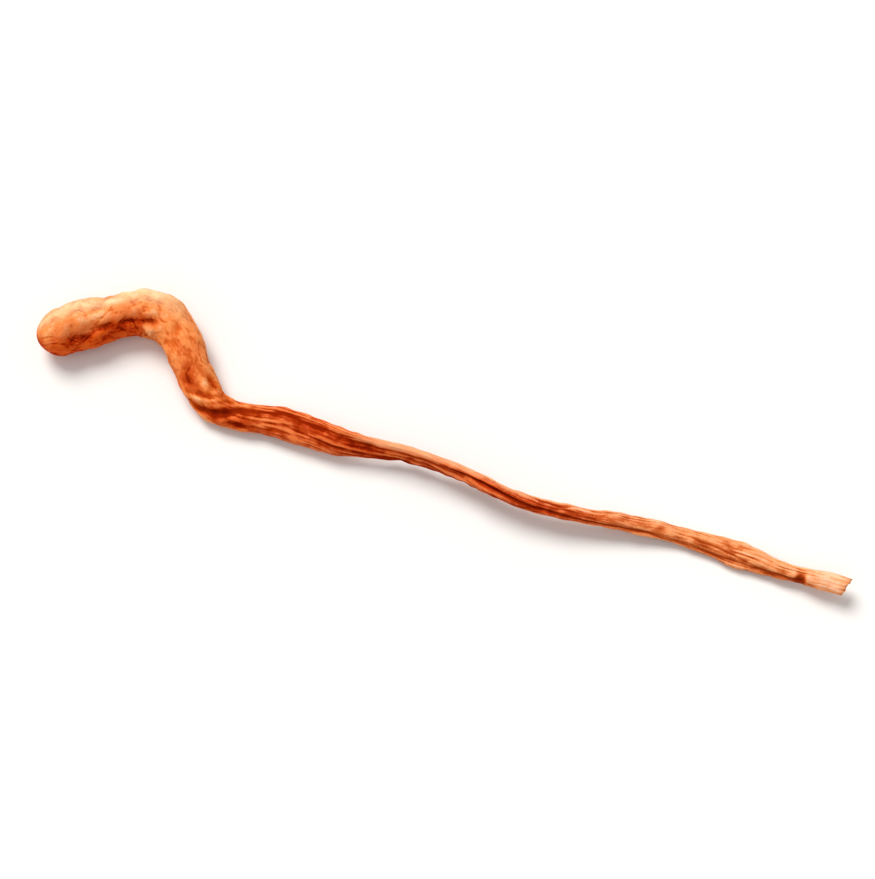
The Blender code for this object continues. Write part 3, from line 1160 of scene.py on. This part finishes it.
        # The tip's faces and the rings up to the rim are skin, and the rest is cut
        flags[columns + (rings - self.cut_rings) * columns:] = 1
        mesh.polygons.foreach_set("material_index", flags)
        mesh.shade_smooth()
        piece = put("cordyceps_skin", mesh)
        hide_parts(NODE)
        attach(piece, BODY)
        triangles = sum(len(face.vertices) - 2 for face in mesh.polygons)
        LOG.info("%s: %d rings of %d, %d triangles", piece.name, rings, columns, triangles)
        return piece


def put(name: str, data: bpy.types.ID) -> Object:
    """Puts an object in the scene.

    Args:
        name: Its name.
        data: Its mesh, light or camera.

    Returns:
        The object.
    """
    made = bpy.data.objects.new(name, data)
    bpy.context.scene.collection.objects.link(made)
    return made


def stand(name: str, data: bpy.types.ID, place: Vector, back: Vector) -> Object:
    """Puts a light or a camera in the scene.

    Args:
        name: Its name.
        data: The light or the camera.
        place: Where it stands.
        back: The direction behind it.

    Returns:
        The object.
    """
    made = put(name, data)
    made.location = place
    made.rotation_mode = "QUATERNION"
    made.rotation_quaternion = (-back).to_track_quat("-Z", "Y")
    return made


@dataclass
class Studio:
    """The floor, the light and the camera, which looks down on the piece from the front."""

    floor_size: float = 3.0
    floor_gap: float = 0.02 * MM
    floor_colour: Colour = (0.84, 0.835, 0.825)
    floor_roughness: float = 0.9
    floor_specular: float = 0.1
    world_colour: Colour = (1.0, 0.975, 0.95)
    world_strength: float = 0.44
    # A key light from behind on the left and a weak fill from the front: where each stands, how wide
    # it looks in degrees, its strength and its colour
    suns: tuple[tuple[str, Scale, float, float, Colour], ...] = (
        ("key", (-0.20, 0.31, 0.52), 34.0, 2.86, (1.0, 0.975, 0.94)),
        ("fill", (-0.20, -0.30, 0.60), 60.0, 0.45, (1.0, 0.98, 0.96)),
    )
    elevation: float = 70.0
    lens: float = 105.0
    sensor: float = 36.0
    share_of_width: float = 0.93
    # The picture is a touch taller than wide, so the sensor's width is along its height
    picture: tuple[int, int] = (875, 879)

    def floor(self) -> Object:
        """Makes the floor.

        Returns:
            The floor, just under the piece.
        """
        half = self.floor_size / 2
        mesh = bpy.data.meshes.new("floor")
        sides = ((-half, -half), (half, -half), (half, half), (-half, half))
        mesh.from_pydata([(x, y, -self.floor_gap) for x, y in sides], [], [(0, 1, 2, 3)])
        material, graph, surface = new_material("pale_floor")
        graph.fill(surface, Base_Color=self.floor_colour, Roughness=self.floor_roughness,
                   Specular_IOR_Level=self.floor_specular)
        mesh.materials.append(material)
        floor = put("floor", mesh)
        return floor

    def sky(self) -> None:
        """Lights the scene evenly from all round."""
        world = bpy.data.worlds.new("studio")
        world.use_nodes = True
        light = world.node_tree.nodes["Background"]
        Graph(world.node_tree).fill(light, Color=self.world_colour, Strength=self.world_strength)
        bpy.context.scene.world = world

    def camera(self) -> Object:
        """Makes the camera.

        Returns:
            The camera, far enough back for the piece to take its share of the frame's width.
        """
        low, high = CAD_BOX
        tilt = math.radians(self.elevation)
        back = Vector((0.0, -math.cos(tilt), math.sin(tilt)))
        wide, tall = self.picture
        width = (high.x - low.x) / self.share_of_width
        distance = width * tall / wide * self.lens / self.sensor
        data = bpy.data.cameras.new("camera")
        data.lens, data.sensor_width = self.lens, self.sensor
        camera = stand("camera", data, (low + high) / 2 + back * distance, back)
        bpy.context.scene.camera = camera
        return camera

    def build(self) -> None:
        """Sets up the floor, the lights, the camera and the picture's tones."""
        self.floor()
        for name, place, width, strength, colour in self.suns:
            data = bpy.data.lights.new(name, "SUN")
            data.angle, data.energy, data.color = math.radians(width), strength, colour
            stand(name, data, Vector(place), Vector(place))
        self.sky()
        self.camera()
        bpy.context.scene.view_settings.view_transform = "Standard"
        LOG.info("studio: floor, lights and camera")


def main() -> None:
    """Builds the piece and the studio round it."""
    logging.basicConfig(level=logging.INFO, format="%(name)s: %(message)s")
    effects = EffectGroups()
    skin = SkinMaterial(effects).build()
    flesh = CutMaterial(effects).build()
    FruitingBody().build(skin, flesh)
    Studio().build()


if __name__ == "__main__":
    main()
